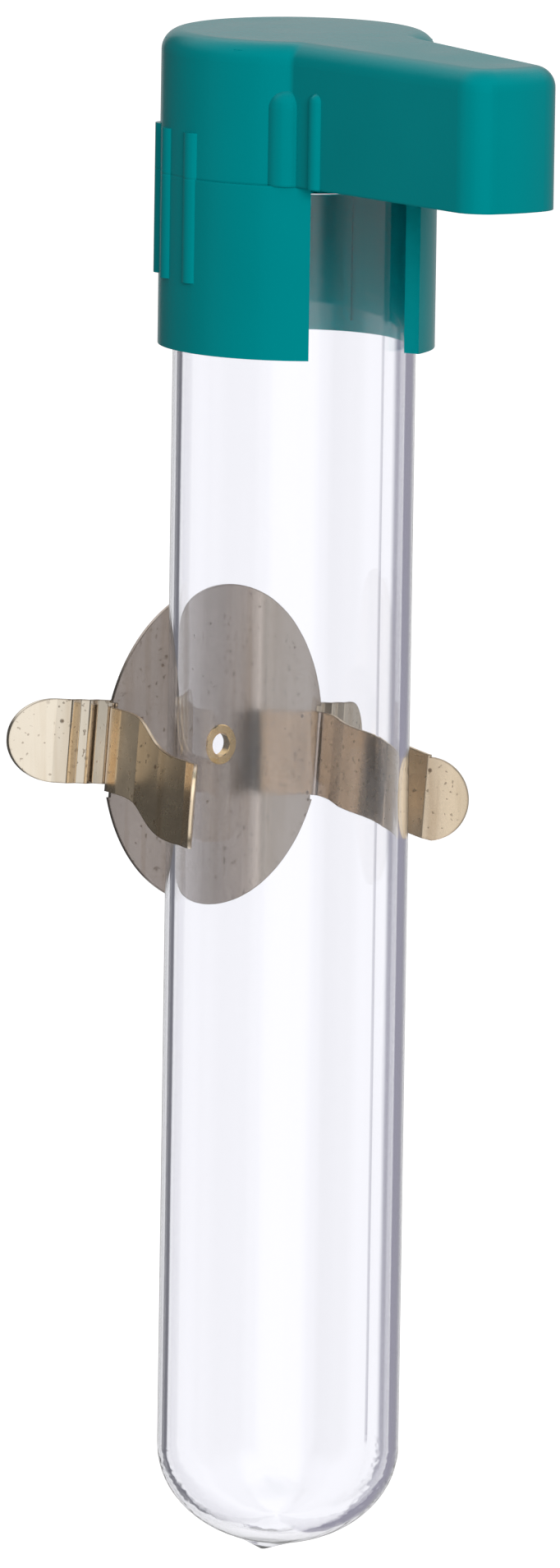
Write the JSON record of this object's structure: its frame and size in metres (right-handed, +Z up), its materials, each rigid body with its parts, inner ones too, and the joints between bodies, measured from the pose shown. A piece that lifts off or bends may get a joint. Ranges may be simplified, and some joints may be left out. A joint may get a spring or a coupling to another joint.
{
  "type": "tube drinker with cage clip",
  "caption": "Small animal tube drinker: clear round-ended reservoir, push-on green cup with a drinking trough, and a sprung metal clip that hangs it on cage wires.",
  "frame": {"origin": "on the rivet axis, on the clip plate's flat wire-side face", "axes": "+Y away from the tube, out through the cage wires; +Z up as pictured, towards the cup's closed end, with the tube's round end down (in use it hangs the other way up, -Z up); X across the two clip arms"},
  "size_m": [0.0594, 0.0741, 0.2],
  "materials": {
    "clear_plastic": "clear glossy moulded polystyrene",
    "green_plastic": "opaque teal green moulding, satin gloss",
    "plated_spring_steel": "bright nickel plated spring steel with a warm tint",
    "rivet_brass": "bright rolled eyelet"
  },
  "bodies": {
    "clip": {"clip_plate": "plated_spring_steel", "clip_rivet": "rivet_brass"},
    "wing": {"wing_strip": "plated_spring_steel"},
    "tube": {"reservoir_tube": "clear_plastic"},
    "cup": {"drinker_cup": "green_plastic"}
  },
  "joints": [
    {"name": "wing_turn", "type": "hinge", "parent": "clip", "child": "wing", "pos_m": [0, 0, 0], "axis": [0, 1, 0], "range_deg": [-90, 90]},
    {"name": "tube_slide", "type": "slide", "parent": "clip", "child": "tube", "axis": [0, 0, 1], "range_m": [-0.019, 0.076]},
    {"name": "cup_pull", "type": "slide", "parent": "tube", "child": "cup", "axis": [0, 0, 1], "range_m": [-0.004, 0.03]}
  ]
}
